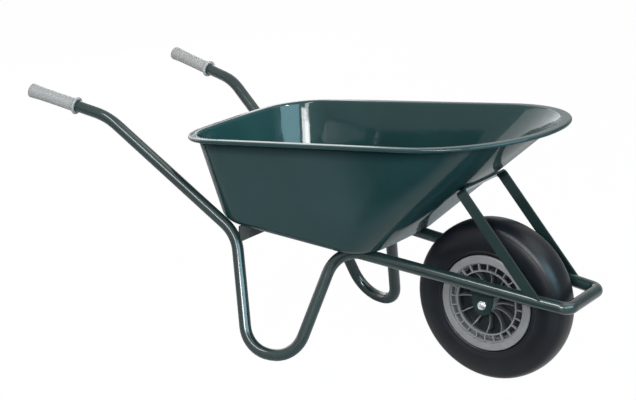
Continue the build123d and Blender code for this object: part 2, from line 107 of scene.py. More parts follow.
def addNode(tree, kind, **settings):
    node = tree.nodes.new(kind)
    for key, value in settings.items():
        if key in node.inputs:
            node.inputs[key].default_value = value
        else:
            setattr(node, key, value)
    return node


def feed(tree, socket, value):
    # A link where the value comes from another node, or else the value itself
    if isinstance(value, bpy.types.NodeSocket):
        tree.links.new(value, socket)
    else:
        socket.default_value = value


def fillSurface(tree, surface, values):
    for name, value in values.items():
        feed(tree, surface.inputs[name], value)


def mathOn(tree, operation, *values):
    node = addNode(tree, "ShaderNodeMath", operation=operation)
    for socket, value in zip(node.inputs, values):
        feed(tree, socket, value)
    return node.outputs[0]


def objectPlace(tree):
    return addNode(tree, "ShaderNodeTexCoord").outputs["Object"]


def splitPlace(tree, place):
    parted = addNode(tree, "ShaderNodeSeparateXYZ")
    tree.links.new(place, parted.inputs["Vector"])
    return parted.outputs


def noiseOn(tree, place, scale, detail, rough=0.5):
    noise = addNode(tree, "ShaderNodeTexNoise", Scale=scale, Detail=detail, Roughness=rough)
    tree.links.new(place, noise.inputs["Vector"])
    return noise.outputs["Fac"]


def spread(tree, value, before, after):
    # Moves a value from one range to another
    ranged = addNode(tree, "ShaderNodeMapRange")
    tree.links.new(value, ranged.inputs["Value"])
    for socket, number in zip(ranged.inputs[1:5], (*before, *after)):
        socket.default_value = number
    return ranged.outputs["Result"]


def mixColour(tree, share, first, second):
    mixed = addNode(tree, "ShaderNodeMix", data_type="RGBA")
    tree.links.new(share, mixed.inputs["Factor"])
    for name, colour in (("A", first), ("B", second)):
        feed(tree, mixed.inputs[name], (*colour, 1.0) if isinstance(colour, tuple) else colour)
    return mixed.outputs["Result"]


def mixShaders(tree, share, first, second):
    mixed = addNode(tree, "ShaderNodeMixShader")
    for socket, value in zip(mixed.inputs, (share, first, second)):
        tree.links.new(value, socket)
    return mixed.outputs[0]


def bumpFrom(tree, height, depth, below=None):
    bump = addNode(tree, "ShaderNodeBump", Strength=1.0, Distance=depth)
    tree.links.new(height, bump.inputs["Height"])
    if below is not None:
        tree.links.new(below, bump.inputs["Normal"])
    return bump.outputs["Normal"]


# Ranges and noise settings that the finishes share
wholeRange = (0.0, 1.0)
noiseBand = (0.3, 0.7)
paintNoise = {
    "cloudBand": (0.35, 0.65),
    "cloudDetail": 4.0,
    "hazeDetail": 5.0,
    "hazeRough": 0.6,
    "peelDetail": 2.0,
    "waveDetail": 2.0,
}
plasticNoise = {"flowDetail": 4.0, "hazeDetail": 3.0, "grainDetail": 3.0}
zincNoise = {"bloomDetail": 5.0, "wearDetail": 4.0}
# Ambient-occlusion band and samples for the painted shade in creases
paintedShadeBand = (0.78, 0.98)
paintedShadeSamples = 6


def unshadedShare(tree, reach):
    # 0 deep in a crease such as the one under the rolled rim, 1 in the open; it sets where shade is
    # painted into the creases
    shade = addNode(tree, "ShaderNodeAmbientOcclusion", Distance=reach,
                    samples=paintedShadeSamples, only_local=True)
    return spread(tree, shade.outputs["AO"], paintedShadeBand, wholeRange)


def glossPaint(name, finish):
    # Matt body under a clear gloss, with painted shade in the creases: there the colour darkens and the
    # specular and gloss fade out
    material, tree, surface = newMaterial(name)
    place = objectPlace(tree)
    cloud = noiseOn(tree, place, finish["cloudScale"], paintNoise["cloudDetail"])
    tone = spread(tree, cloud, paintNoise["cloudBand"], wholeRange)
    colour = mixColour(tree, tone, finish["dark"], finish["light"])
    unshaded = unshadedShare(tree, finish["paintedShadeReach"])
    haze = noiseOn(tree, place, finish["hazeScale"],
                   paintNoise["hazeDetail"], paintNoise["hazeRough"])
    peel = noiseOn(tree, place, finish["peelScale"], paintNoise["peelDetail"])
    wave = noiseOn(tree, place, finish["waveScale"], paintNoise["waveDetail"])
    waved = bumpFrom(tree, wave, finish["waveDepth"])
    relief = bumpFrom(tree, peel, finish["peelDepth"], waved)
    fillSurface(tree, surface, {
        "Base Color": mixColour(tree, unshaded, finish["paintedShadeColour"], colour),
        "Specular IOR Level": spread(tree, unshaded, wholeRange, (0.0, finish["specular"])),
        "Roughness": spread(tree, haze, noiseBand, finish["bodyRoughness"]),
        "Coat Roughness": spread(tree, haze, noiseBand, finish["roughness"]),
        "Coat Weight": spread(tree, unshaded, wholeRange, (0.0, finish["coat"])),
        "Normal": relief,
        "Coat Normal": relief,
    })
    return material


def mouldedPlastic(name, finish):
    material, tree, surface = newMaterial(name)
    place = objectPlace(tree)
    flow = noiseOn(tree, place, finish["flowScale"], plasticNoise["flowDetail"])
    tone = spread(tree, flow, noiseBand, wholeRange)
    colour = mixColour(tree, tone, finish["dark"], finish["light"])
    if "hollow" in finish:
        # Painted shade: darker towards the middle plane of the wheel, for the shade deep in the rim's
        # recesses
        across = mathOn(tree, "ABSOLUTE", splitPlace(tree, place)["Y"])
        outside = spread(tree, across, finish["hollowReach"], wholeRange)
        colour = mixColour(tree, outside, finish["hollow"], colour)
    haze = noiseOn(tree, place, finish["hazeScale"], plasticNoise["hazeDetail"])
    grain = noiseOn(tree, place, finish["grainScale"], plasticNoise["grainDetail"])
    fillSurface(tree, surface, {
        "Base Color": colour,
        "Roughness": spread(tree, haze, noiseBand, finish["roughness"]),
        "Normal": bumpFrom(tree, grain, finish["grainDepth"]),
        "Specular IOR Level": finish["specular"],
    })
    if "coat" in finish:
        fillSurface(tree, surface, {
            "Coat Weight": finish["coat"],
            "Coat Roughness": finish["coatRoughness"],
        })
    return material


def zincPlate(name, finish):
    material, tree, surface = newMaterial(name)
    place = objectPlace(tree)
    bloom = noiseOn(tree, place, finish["bloomScale"], zincNoise["bloomDetail"])
    tone = spread(tree, bloom, noiseBand, wholeRange)
    wear = noiseOn(tree, place, finish["wearScale"], zincNoise["wearDetail"])
    fillSurface(tree, surface, {
        "Base Color": mixColour(tree, tone, finish["dark"], finish["light"]),
        "Roughness": spread(tree, wear, noiseBand, finish["roughness"]),
        "Normal": bumpFrom(tree, wear, finish["wearDepth"]),
        "Metallic": 1.0,
    })
    return material


trayFinish = {
    "dark": (0.0030, 0.0182, 0.0188),
    "light": (0.0042, 0.0222, 0.0226),
    # Painted shade colour and reach, for creases such as the one under the rolled rim
    "paintedShadeColour": (0.0013, 0.0080, 0.0098),
    "paintedShadeReach": 0.042,
    "cloudScale": 5.0,
    "roughness": (0.05, 0.10),
    "bodyRoughness": (0.54, 0.64),
    "coat": 0.47,
    "hazeScale": 14.0,
    "peelScale": 420.0,
    "peelDepth": 0.00002,
    "waveScale": 22.0,
    "waveDepth": 0.0004,
    "specular": 0.09,
}
frameFinish = {
    "dark": (0.0055, 0.0125, 0.0122),
    "light": (0.008, 0.017, 0.0165),
    # Painted shade colour and reach, for the creases of the frame
    "paintedShadeColour": (0.002, 0.005, 0.005),
    "paintedShadeReach": 0.012,
    "cloudScale": 7.0,
    "roughness": (0.10, 0.17),
    "bodyRoughness": (0.45, 0.55),
    "coat": 0.8,
    "hazeScale": 20.0,
    "peelScale": 520.0,
    "peelDepth": 0.00002,
    "waveScale": 60.0,
    "waveDepth": 0.0001,
    "specular": 0.10,
}
gripFinish = {
    "dark": (0.190, 0.183, 0.180),
    "light": (0.228, 0.220, 0.214),
    "flowScale": 25.0,
    "roughness": (0.42, 0.55),
    "hazeScale": 60.0,
    "grainScale": 1800.0,
    "grainDepth": 0.00006,
    "specular": 0.4,
}
rimFinish = {
    "dark": (0.118, 0.111, 0.113),
    "light": (0.155, 0.147, 0.149),
    # Painted shade for the rim's recesses, and the depths over which it fades out
    "hollow": (0.006, 0.009, 0.011),
    "hollowReach": (0.004, 0.04),
    "flowScale": 30.0,
    "roughness": (0.35, 0.5),
    "hazeScale": 70.0,
    "grainScale": 1500.0,
    "grainDepth": 0.00005,
    "specular": 0.45,
}
tyreFinish = {
    "dark": (0.0025, 0.003, 0.0042),
    "light": (0.0042, 0.005, 0.007),
    "flowScale": 18.0,
    "roughness": (0.34, 0.46),
    "hazeScale": 40.0,
    "grainScale": 900.0,
    "grainDepth": 0.00008,
    "specular": 0.06,
    "coat": 0.32,
    "coatRoughness": 0.36,
}
blackPlasticFinish = {
    "dark": (0.012, 0.012, 0.012),
    "light": (0.02, 0.02, 0.02),
    "flowScale": 30.0,
    "roughness": (0.4, 0.55),
    "hazeScale": 60.0,
    "grainScale": 1500.0,
    "grainDepth": 0.00004,
    "specular": 0.45,
}
zincFinish = {
    "dark": (0.56, 0.57, 0.58),
    "light": (0.74, 0.75, 0.76),
    "bloomScale": 120.0,
    "roughness": (0.22, 0.38),
    "wearScale": 700.0,
    "wearDepth": 0.00002,
}

trayPaint = glossPaint("trayPaint", trayFinish)
framePaint = glossPaint("framePaint", frameFinish)
gripPlastic = mouldedPlastic("gripPlastic", gripFinish)
rimPlastic = mouldedPlastic("rimPlastic", rimFinish)
tyreRubber = mouldedPlastic("tyreRubber", tyreFinish)
blackPlastic = mouldedPlastic("blackPlastic", blackPlasticFinish)
zincSteel = zincPlate("zincSteel", zincFinish)

slotMaterials = {
    "frame_paint": framePaint,
    "tray_paint": trayPaint,
    "grip_plastic": gripPlastic,
    "rim_plastic": rimPlastic,
    "tyre_rubber": tyreRubber,
    "tube_rubber": tyreRubber,
    "cap_plastic": blackPlastic,
    "bush_plastic": blackPlastic,
    "zinc_steel": zincSteel,
}
for part in frame["record"]["subparts"]:
    partMesh = nodes[part["node"]].data
    partMesh.materials.clear()
    partMesh.materials.append(slotMaterials[part["material_slot"]])
print("finishes ready")

# Small helpers for meshes
mergeReach = 1e-6


def makePiece(name, points, faces, material, body, replaced):
    mesh = bpy.data.meshes.new(name)
    mesh.from_pydata([tuple(p) for p in points], [], faces)
    work = bmesh.new()
    work.from_mesh(mesh)
    bmesh.ops.remove_doubles(work, verts=work.verts, dist=mergeReach)
    bmesh.ops.recalc_face_normals(work, faces=work.faces)
    work.to_mesh(mesh)
    work.free()
    mesh.shade_smooth()
    mesh.materials.append(material)
    piece = addObject(name, mesh)
    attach(piece, body)
    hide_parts(*replaced)
    return piece


def arcAbout(centre, radius, begin, end, steps):
    # Points of a flat arc from the angle begin to the angle end, with both ends
    turns = [begin + (end - begin) * k / steps for k in range(steps + 1)]
    return [(centre[0] + radius * math.cos(t), centre[1] + radius * math.sin(t)) for t in turns]


def shortTurn(angle):
    return (angle + math.pi) % (2 * math.pi) - math.pi


def arcThrough(start, middle, end, steps):
    # Points of a flat arc through three points, without the last one
    (ax, ay), (bx, by), (cx, cy) = start, middle, end
    double = 2 * (ax * (by - cy) + bx * (cy - ay) + cx * (ay - by))
    first, second, third = ax * ax + ay * ay, bx * bx + by * by, cx * cx + cy * cy
    ox = (first * (by - cy) + second * (cy - ay) + third * (ay - by)) / double
    oy = (first * (cx - bx) + second * (ax - cx) + third * (bx - ax)) / double
    begin = math.atan2(ay - oy, ax - ox)
    half = shortTurn(math.atan2(by - oy, bx - ox) - begin)
    rest = shortTurn(math.atan2(cy - oy, cx - ox) - begin - half)
    radius = math.hypot(ax - ox, ay - oy)
    return arcAbout((ox, oy), radius, begin, begin + half + rest, steps)[:-1]


def bendBetween(first, corner, last, steps):
    # Soft bend from first to last that leans towards the corner between them
    points = []
    for step in range(steps + 1):
        share = step / steps
        weights = ((1 - share) ** 2, 2 * share * (1 - share), share ** 2)
        points.append(tuple(sum(weight * spot[k] for weight, spot in zip(weights, (first, corner, last)))
                            for k in (0, 1)))
    return points


def mirrored(half):
    # The other half of a section, in reverse order
    return [(radius, -across) for radius, across in reversed(half)]


def ringFaces(rings, count, closedAcross, closedAlong):
    # Quads between rings of count points each
    faces = []
    for ring in range(rings if closedAlong else rings - 1):
        here, after = ring * count, (ring + 1) % rings * count
        for k in range(count if closedAcross else count - 1):
            m = (k + 1) % count
            faces.append((here + k, after + k, after + m, here + m))
    return faces


def spinAbout(profile, steps, place, axis, across):
    # Turns a closed profile of radius and height about an axis
    other = axis.cross(across)
    points = []
    for step in range(steps):
        turn = 2 * math.pi * step / steps
        out = across * math.cos(turn) + other * math.sin(turn)
        points += [place + out * radius + axis * height for radius, height in profile]
    return points, ringFaces(steps, len(profile), True, True)


def blockAt(corners):
    # Eight corners, four below and four above
    sides = [(k, (k + 1) % 4, 4 + (k + 1) % 4, 4 + k) for k in range(4)]
    return list(corners), [(3, 2, 1, 0), (4, 5, 6, 7)] + sides


def gather(groups):
    # Joins several lists of points and faces into one
    points, faces = [], []
    for somePoints, someFaces in groups:
        faces += [tuple(k + len(points) for k in face) for face in someFaces]
        points += somePoints
    return points, faces


# Tray: one pressing, drawn as its outer skin and then given the thickness of the sheet
traySizes = {
    "sheet": 0.0012,
    "rollRadius": 0.006,
    "overhang": 0.025,
    "flareRadius": 0.008,
    "edgeRadius": 0.032,
    "rim": {"height": 0.6219, "slope": 0.123, "rear": -0.815, "front": 0.149, "half": 0.268,
            "corners": (0.138, 0.263), "bows": (1.86, 0.414)},
    "floor": {"height": 0.2862, "slope": -0.033, "rear": -0.737, "front": -0.263, "half": 0.191,
              "corners": (0.113, 0.092), "bows": (2.5, 2.5)},
    "frontBowSteps": 5,
    "frontCornerSteps": 34,
    "sideSteps": 26,
    "rearCornerSteps": 24,
    "rearBowSteps": 6,
    "curlTurn": 300.0,
    "edgeSteps": 9,
    "wallSteps": 16,
    "flareSteps": 7,
    "lipSteps": 3,
    "curlSteps": 20,
    "floorRings": 6,
    "directionInset": 0.01,
}


def bowEnd(half, bow, corner):
    # How far ahead of a bow's centre its corner's centre lies, and the angle where they meet
    reach = math.sqrt((bow - corner) ** 2 - (half - corner) ** 2)
    return reach, math.atan2(half - corner, reach)


def trayOutline(sizes, shape, inset, rise):
    # Round the outline from the front, as points on its tilted plane
    half = shape["half"] - inset
    rearCorner, frontCorner = (corner - inset for corner in shape["corners"])
    rearBow, frontBow = (bow - inset for bow in shape["bows"])
    frontReach, frontTurn = bowEnd(half, frontBow, frontCorner)
    rearReach, rearTurn = bowEnd(half, rearBow, rearCorner)
    frontBowX = shape["front"] - inset - frontBow
    rearBowX = shape["rear"] + inset + rearBow
    frontX, rearX = frontBowX + frontReach, rearBowX - rearReach
    rearBegin = math.pi - rearTurn
    path = arcAbout((frontBowX, 0.0), frontBow, 0.0, frontTurn, sizes["frontBowSteps"])[:-1]
    path += arcAbout((frontX, half - frontCorner), frontCorner,
                     frontTurn, quarterTurn, sizes["frontCornerSteps"])[:-1]
    path += [(frontX + (rearX - frontX) * k / sizes["sideSteps"], half)
             for k in range(sizes["sideSteps"])]
    path += arcAbout((rearX, half - rearCorner), rearCorner,
                     quarterTurn, rearBegin, sizes["rearCornerSteps"])[:-1]
    path += arcAbout((rearBowX, 0.0), rearBow, rearBegin, math.pi, sizes["rearBowSteps"])
    path += mirrored(path[1:-1])
    along = Vector((1.0, 0.0, shape["slope"])).normalized()
    upward = Vector((-shape["slope"], 0.0, 1.0)).normalized()
    origin = Vector((axlePlace.x, 0.0, shape["height"])) + upward * rise
    return [origin + along * x + sideAxis * y for x, y in path], upward


def roundCorner(corner, first, second, radius, steps):
    # Arc at a corner between two directions, with both ends
    opening = first.angle(second)
    reach = radius / math.tan(opening / 2)
    centre = corner + (first + second).normalized() * (radius / math.sin(opening / 2))
    start = corner + first * reach - centre
    end = corner + second * reach - centre
    turn = start.angle(end)
    points = []
    for k in range(steps + 1):
        share = k / steps
        blend = start * math.sin(turn * (1 - share)) + end * math.sin(turn * share)
        points.append(centre + blend / math.sin(turn))
    return points


def trayLines(sizes):
    # One line for each point round the tray, from the floor up the wall and round the curl
    roll = sizes["rollRadius"]
    lipRise = roll - sizes["sheet"]
    floorEdge, _ = trayOutline(sizes, sizes["floor"], 0.0, 0.0)
    floorInner, _ = trayOutline(sizes, sizes["floor"], sizes["directionInset"], 0.0)
    wallTop, _ = trayOutline(sizes, sizes["rim"], sizes["overhang"], lipRise)
    lipEdge, _ = trayOutline(sizes, sizes["rim"], roll, lipRise)
    rollCentre, upward = trayOutline(sizes, sizes["rim"], roll, 0.0)
    rimEdge, _ = trayOutline(sizes, sizes["rim"], 0.0, 0.0)
    lines = []
    outlines = zip(floorEdge, floorInner, wallTop, lipEdge, rollCentre, rimEdge)
    for edge, inner, top, lip, centre, outer in outlines:
        inward = (inner - edge).normalized()
        wall = (top - edge).normalized()
        outward = (lip - top).normalized()
        rollOut = (outer - centre).normalized()
        line = roundCorner(edge, inward, wall, sizes["edgeRadius"], sizes["edgeSteps"])
        flare = roundCorner(top, -wall, outward, sizes["flareRadius"], sizes["flareSteps"])
        low, high = line[-1], flare[0]
        line += [low.lerp(high, k / sizes["wallSteps"]) for k in range(1, sizes["wallSteps"])]
        line += flare
        line += [flare[-1].lerp(lip, k / sizes["lipSteps"]) for k in range(1, sizes["lipSteps"])]
        for k in range(sizes["curlSteps"] + 1):
            turn = math.radians(90.0 - sizes["curlTurn"] * k / sizes["curlSteps"])
            line.append(centre + (rollOut * math.cos(turn) + upward * math.sin(turn)) * lipRise)
        lines.append(line)
    return lines


def makeTray(sizes):
    lines = trayLines(sizes)
    around, count = len(lines), len(lines[0])
    points = [spot for line in lines for spot in line]
    faces = ringFaces(around, count, False, True)
    middle = sum((line[0] for line in lines), Vector()) / around
    before = [ring * count for ring in range(around)]
    for k in range(1, sizes["floorRings"]):
        fresh = list(range(len(points), len(points) + around))
        points += [line[0].lerp(middle, k / sizes["floorRings"]) for line in lines]
        for a in range(around):
            b = (a + 1) % around
            faces.append((before[a], before[b], fresh[b], fresh[a]))
        before = fresh
    points.append(middle)
    last = len(points) - 1
    faces += [(before[a], before[(a + 1) % around], last) for a in range(around)]
    tray = makePiece("trayPressing", points, faces, trayPaint, "frame", ["tray"])
    thicken = tray.modifiers.new("sheetThickness", "SOLIDIFY")
    thicken.thickness = sizes["sheet"]
    thicken.offset = -1.0
    thicken.use_even_offset = True


makeTray(traySizes)
print("tray ready")

# Tyre: smooth round carcass with soft shoulders, a moulded bead ring and thin side lines
tyreSizes = {
    "crown": 0.2,
    "treadHalf": 0.037,
    "treadDrop": 0.007,
    "crownSteps": 18,
    "shoulderTrim": 5,
    "shoulderSteps": 10,
    "flank": 0.05,
    "flankSteps": 44,
    "beadRadius": 0.1017,
    "beadFace": 0.0438,
    "beadToe": 0.0288,
    "ringStart": 0.1206,
    "ringEnd": 0.1296,
    "ringFace": 0.047,
    "ringSwell": 0.0011,
    "ringSteps": 12,
    "tread": 0.009,
    "wall": 0.006,
    "sideLines": (0.1365, 0.1815, 0.1845),
    "lineHeight": 0.00045,
    "lineWidth": 0.0006,
    "liningSteps": 16,
    "roofSteps": 8,
    "turnSteps": 180,
}


def flatArch(top, half, drop, steps):
    # Arc from the middle plane out to one side. It drops by a quarter at half of its width
    return arcThrough((top, 0.0), (top - drop / 4, half / 2), (top - drop, half), steps)


def makeTyre(sizes):
    crown, flank, tread, wall = (sizes[key] for key in ("crown", "flank", "tread", "wall"))
    treadHalf, treadDrop, trim = sizes["treadHalf"], sizes["treadDrop"], sizes["shoulderTrim"]
    start, end = sizes["ringStart"], sizes["ringEnd"]
    ringFace, beadFace, beadRadius = sizes["ringFace"], sizes["beadFace"], sizes["beadRadius"]
    shoulder = crown - treadDrop
    widest = (shoulder + end) / 2
    treadEdge = (shoulder, treadHalf)
    liningEdge = (shoulder - tread, treadHalf - wall)
    outer = flatArch(crown, treadHalf, treadDrop, sizes["crownSteps"])
    lined = []
    for radius, across in arcThrough(treadEdge, (widest, flank), (end, ringFace), sizes["flankSteps"]):
        lift = sum(math.exp(-((radius - line) / sizes["lineWidth"]) ** 2) for line in sizes["sideLines"])
        lined.append((radius, across + lift * sizes["lineHeight"]))
    rounded = bendBetween(outer[-1 - trim], treadEdge, lined[trim], sizes["shoulderSteps"])
    swollen = ((start + end) / 2, ringFace + sizes["ringSwell"])
    ring = arcThrough((end, ringFace), swollen, (start, beadFace), sizes["ringSteps"])
    bead = [(start, beadFace), (beadRadius, beadFace), (beadRadius, sizes["beadToe"])]
    lining = arcThrough((start, beadFace - wall), (widest, flank - wall), liningEdge,
                        sizes["liningSteps"])
    roofMiddle = (crown - tread - treadDrop / 4, (treadHalf - wall) / 2)
    roof = arcThrough(liningEdge, roofMiddle, (crown - tread, 0.0), sizes["roofSteps"])
    half = outer[1:-1 - trim] + rounded + lined[trim + 1:] + ring + bead + lining + roof
    section = [(crown, 0.0)] + half + [(crown - tread, 0.0)] + mirrored(half)
    points, faces = spinAbout(section, sizes["turnSteps"], axlePlace, sideAxis, forwardAxis)
    makePiece("tyreCarcass", points, faces, tyreRubber, "wheel", ["tyre"])


makeTyre(tyreSizes)
print("tyre ready")

# Wheel rim: hub, disc, barrel and flanges in one turn, with window bars, inner rings and dipping ribs
wheelSizes = {
    "hubBore": 0.01305,
    "hub": 0.024,
    "hubHalf": 0.056,
    "disc": 0.002,
    "wellInner": 0.0915,
    "wellHalf": 0.024,
    "wellDepth": 0.005,
    "barrel": 0.005,
    "flangeInner": 0.044,
    "faceInner": 0.1,
    "rimHalf": 0.05,
    "flange": 0.119,
    "flangeRound": 0.003,
    "flangeSteps": 5,
    "windowCount": 24,
    "barWidth": 0.003,
    "barDepth": 0.007,
    "barStart": 0.08,
    "barEnd": 0.099,
    "faceSide": 0.046,
    "ringOuter": 0.0815,
    "ringInner": 0.078,
    "ribCount": 12,
    "ribTop": 0.0022,
    "ribFoot": 0.0042,
    "ribStart": 0.0214,
    "ribEnd": 0.0797,
    "ribDip": 0.024,
    "ribSteps": 14,
    "turnSteps": 144,
    "edgeSoftness": 0.0005,
    "edgeAngle": 35.0,
    "edgeSegments": 2,
}


def onWheel(turn, radius, sideways, across):
    # Place at an angle and radius, with a step round the wheel and one along its axle
    out = forwardAxis * math.cos(turn) + upAxis * math.sin(turn)
    onward = upAxis * math.cos(turn) - forwardAxis * math.sin(turn)
    return axlePlace + out * radius + onward * sideways + sideAxis * across


def wheelSection(sizes):
    hub, hubHalf, disc = sizes["hub"], sizes["hubHalf"], sizes["disc"]
    well, wellHalf = sizes["wellInner"], sizes["wellHalf"]
    flange, flangeInner, bend = sizes["flange"], sizes["flangeInner"], sizes["flangeRound"]
    seatInner = well + sizes["wellDepth"]
    seat = seatInner + sizes["barrel"]
    wellEdge = wellHalf + sizes["wellDepth"]
    half = [(sizes["hubBore"], hubHalf), (hub, hubHalf), (hub, disc), (well, disc), (well, wellHalf),
            (seatInner, wellEdge), (seatInner, flangeInner), (sizes["faceInner"], flangeInner),
            (sizes["faceInner"], sizes["rimHalf"])]
    half += arcAbout((flange - bend, sizes["rimHalf"] - bend), bend, quarterTurn, 0.0,
                     sizes["flangeSteps"])
    half += [(flange, flangeInner), (seat, flangeInner), (seat, wellEdge),
             (well + sizes["barrel"], wellHalf)]
    return half + mirrored(half)


def windowBars(sizes, side):
    face, wide = sizes["faceSide"], sizes["barWidth"] / 2
    start, end = sizes["barStart"], sizes["barEnd"]
    spots = [(start, -wide), (end, -wide), (end, wide), (start, wide)]
    bars = []
    for k in range(sizes["windowCount"]):
        turn = 2 * math.pi * k / sizes["windowCount"]
        bars.append(blockAt(onWheel(turn, radius, sideways, side * across)
                            for across in (face - sizes["barDepth"], face)
                            for radius, sideways in spots))
    return bars


def wheelRibs(sizes, side):
    face, start, end = sizes["faceSide"], sizes["ribStart"], sizes["ribEnd"]
    dip = ((start + end) / 2, face - sizes["ribDip"])
    crest = arcThrough((start, face), dip, (end, face), sizes["ribSteps"]) + [(end, face)]
    top, foot = sizes["ribTop"] / 2, sizes["ribFoot"] / 2
    ribs = []
    for k in range(sizes["ribCount"]):
        turn = 2 * math.pi * k / sizes["ribCount"]
        points = []
        for radius, across in crest:
            wide = foot + (top - foot) * across / face
            corners = ((-foot, 0.0), (-wide, across), (wide, across), (foot, 0.0))
            points += [onWheel(turn, radius, sideways, side * height) for sideways, height in corners]
        last = len(points) - 4
        ends = [(0, 1, 2, 3), (last + 3, last + 2, last + 1, last)]
        ribs.append((points, ringFaces(len(crest), 4, True, False) + ends))
    return ribs


def makeWheelRim(sizes):
    face = sizes["faceSide"]
    back = face - sizes["barDepth"]
    inner, outer = sizes["ringInner"], sizes["ringOuter"]
    turned = (sizes["turnSteps"], axlePlace, sideAxis, forwardAxis)
    groups = [spinAbout(wheelSection(sizes), *turned)]
    for side in (1, -1):
        ring = [(inner, side * back), (outer, side * back), (outer, side * face), (inner, side * face)]
        groups.append(spinAbout(ring, *turned))
        groups += windowBars(sizes, side)
        groups += wheelRibs(sizes, side)
    points, faces = gather(groups)
    rim = makePiece("wheelRim", points, faces, rimPlastic, "wheel", ["wheel_rim"])
    bevel = rim.modifiers.new("softEdges", "BEVEL")
    bevel.width = sizes["edgeSoftness"]
    bevel.segments = sizes["edgeSegments"]
    bevel.limit_method = "ANGLE"
    bevel.angle_limit = math.radians(sizes["edgeAngle"])
    bevel.harden_normals = True


makeWheelRim(wheelSizes)
print("wheel rim ready")

# Grips: pushed on the handles, with a flange, a slight waist and a flared end.
# A dimple, as radius and depth, leads to a small hole in the end
gripSizes = {
    "handleBend": (-0.5065, 0.258, 0.554),
    "roughEnd": (-0.7465, 0.290, 0.596),
    "length": 0.148,
    "body": 0.0175,
    "waist": 0.0171,
    "waistSteps": 9,
    "flare": 0.0189,
    "flareLength": 0.03,
    "flareSteps": 8,
    "flange": 0.023,
    "flangeWidth": 0.006,
    "flangeRound": 0.0026,
    "neck": 0.003,
    "rounding": 0.002,
    "roundSteps": 4,
    "bore": 0.0151,
    "endWall": 0.005,
    "dimple": ((0.004, 0.0), (0.0035, 0.0008), (0.0005, 0.001)),
    "hole": 0.0005,
    "seamHeight": 0.00013,
    "seamWidth": 0.03,
    "turnSteps": 96,
}


def gripProfile(sizes):
    # Radius and height, from the flange to the end and back to the bore
    length, body, flare, flange = (sizes[key] for key in ("length", "body", "flare", "flange"))
    wide, soft, neck = sizes["flangeWidth"], sizes["flangeRound"], sizes["neck"]
    rounding, bore, steps = sizes["rounding"], sizes["bore"], sizes["roundSteps"]
    bodyStart, flareStart = wide + neck, length - sizes["flareLength"]
    profile = [(bore, 0.0), (flange - soft, 0.0)]
    profile += arcAbout((flange - soft, soft), soft, -quarterTurn, 0.0, steps)[1:]
    profile += arcAbout((flange - soft, wide - soft), soft, 0.0, quarterTurn, steps)
    profile += arcAbout((body + neck, bodyStart), neck, -quarterTurn, -math.pi, steps)
    for k in range(1, sizes["waistSteps"]):
        share = k / sizes["waistSteps"]
        thinner = (body - sizes["waist"]) * math.sin(math.pi * share)
        profile.append((body - thinner, bodyStart + (flareStart - bodyStart) * share))
    for k in range(sizes["flareSteps"] + 1):
        share = k / sizes["flareSteps"]
        wider = (flare - body) * share * share * (3 - 2 * share)
        profile.append((body + wider, flareStart + (sizes["flareLength"] - rounding) * share))
    profile += arcAbout((flare - rounding, length - rounding), rounding, 0.0, quarterTurn, steps)[1:]
    profile += [(radius, length - depth) for radius, depth in sizes["dimple"]]
    return profile + [(radius, length - sizes["endWall"]) for radius in (sizes["hole"], bore)]


def makeGrip(name, side, node, sizes):
    bend = Vector(sizes["handleBend"]) * Vector((1, side, 1))
    rough = Vector(sizes["roughEnd"]) * Vector((1, side, 1))
    lean = (rough - bend).normalized()
    end = rough + forwardAxis * sizes["flare"] * math.sqrt(1 - lean.x ** 2)
    axis = (end - bend).normalized()
    across = axis.cross(upAxis).normalized()
    profile = gripProfile(sizes)
    points, faces = spinAbout(profile, sizes["turnSteps"], end - axis * sizes["length"], axis, across)
    # Moulding seam along both sides of the body
    bodyStart = sizes["flangeWidth"] + sizes["neck"]
    bodyEnd = sizes["length"] - sizes["rounding"]
    for step in range(sizes["turnSteps"]):
        turn = 2 * math.pi * step / sizes["turnSteps"]
        lift = math.exp(-(math.sin(turn) / sizes["seamWidth"]) ** 2) * sizes["seamHeight"]
        out = across * math.cos(turn) + axis.cross(across) * math.sin(turn)
        for k, (radius, height) in enumerate(profile):
            if bodyStart < height < bodyEnd and radius > sizes["bore"]:
                points[step * len(profile) + k] += out * lift
    makePiece(name, points, faces, gripPlastic, "frame", [node])


makeGrip("leftGripSleeve", 1, "left_grip", gripSizes)
makeGrip("rightGripSleeve", -1, "right_grip", gripSizes)
print("grips ready")

# Ground that looks white, with a dark area in front of the barrow that shows in the gloss
studio = {
    "floorHalf": 18.0,
    "floorPale": (0.56, 0.56, 0.57),
    "floorRoughness": (0.85, 0.95),
    "floorSpecular": 0.1,
    "mottleScale": 40.0,
    "mottleDetail": 3.0,
    "cardShade": (0.07, 0.07, 0.07),
    "cardLeft": (-0.45, -0.2),
    "cardRight": (0.8, 0.6),
    "cardSlope": 0.85,
    "cardBack": (-0.55, -0.72),
    "floorGlow": 0.985,
    "wheelSideX": (0.05, 0.25),
    "wheelSideY": (-0.34, -0.14),
    "dimSide": (0.56, 0.80, 0.20),
    "dimReach": (0.55, 0.95),
    "dimLevel": 0.42,
    "fillLevel": 0.15,
}
white = (1.0, 1.0, 1.0)


